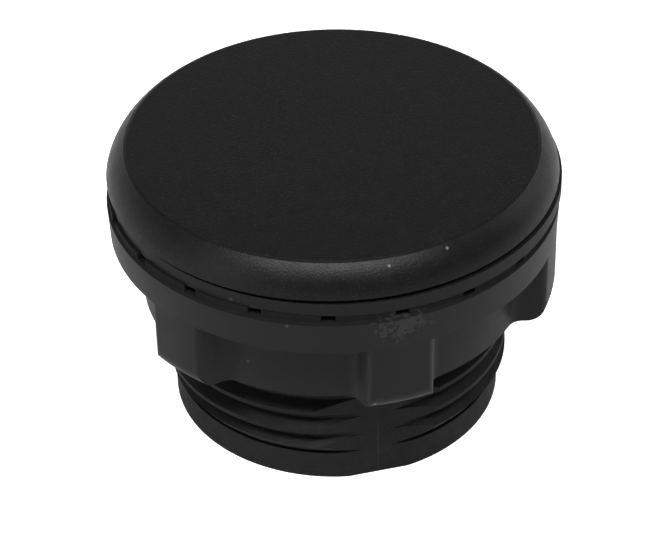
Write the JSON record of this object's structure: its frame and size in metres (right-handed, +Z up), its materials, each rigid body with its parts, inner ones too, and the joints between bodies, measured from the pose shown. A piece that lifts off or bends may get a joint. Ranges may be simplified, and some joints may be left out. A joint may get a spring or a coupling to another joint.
{
  "type": "plastic hole plug",
  "caption": "Screw-in blanking plug with a flat round head, a sealing washer and a lobed ring nut, for closing a round hole in a panel.",
  "frame": {"origin": "on the plug's axis, at the open end of its shank", "axes": "+Z up the shank to the head; the two flats across the thread face -Y and +Y"},
  "size_m": [0.0283, 0.0282, 0.0186],
  "materials": {
    "plug_plastic": "matt, spark-eroded grain",
    "nut_plastic": "smooth, satin to semi-gloss, as moulded",
    "gasket_rubber": "smooth, matt"
  },
  "bodies": {
    "plug": {"plug_body": "plug_plastic"},
    "washer": {"gasket": "gasket_rubber"},
    "nut": {"ring_nut": "nut_plastic"}
  },
  "joints": [
    {"name": "washer_drop", "type": "slide", "parent": "plug", "child": "washer", "axis": [0, 0, 1], "range_m": [-0.0165, 0.0001]},
    {"name": "nut_screw", "type": "hinge", "parent": "washer", "child": "nut", "pos_m": [0, 0, 0.0118], "axis": [0, 0, 1], "range_deg": [-3960, 24]}
  ],
  "couplings": [
    {"joint": "washer_drop", "follows": "nut_screw", "m_per_rad": 0.00023873}
  ]
}
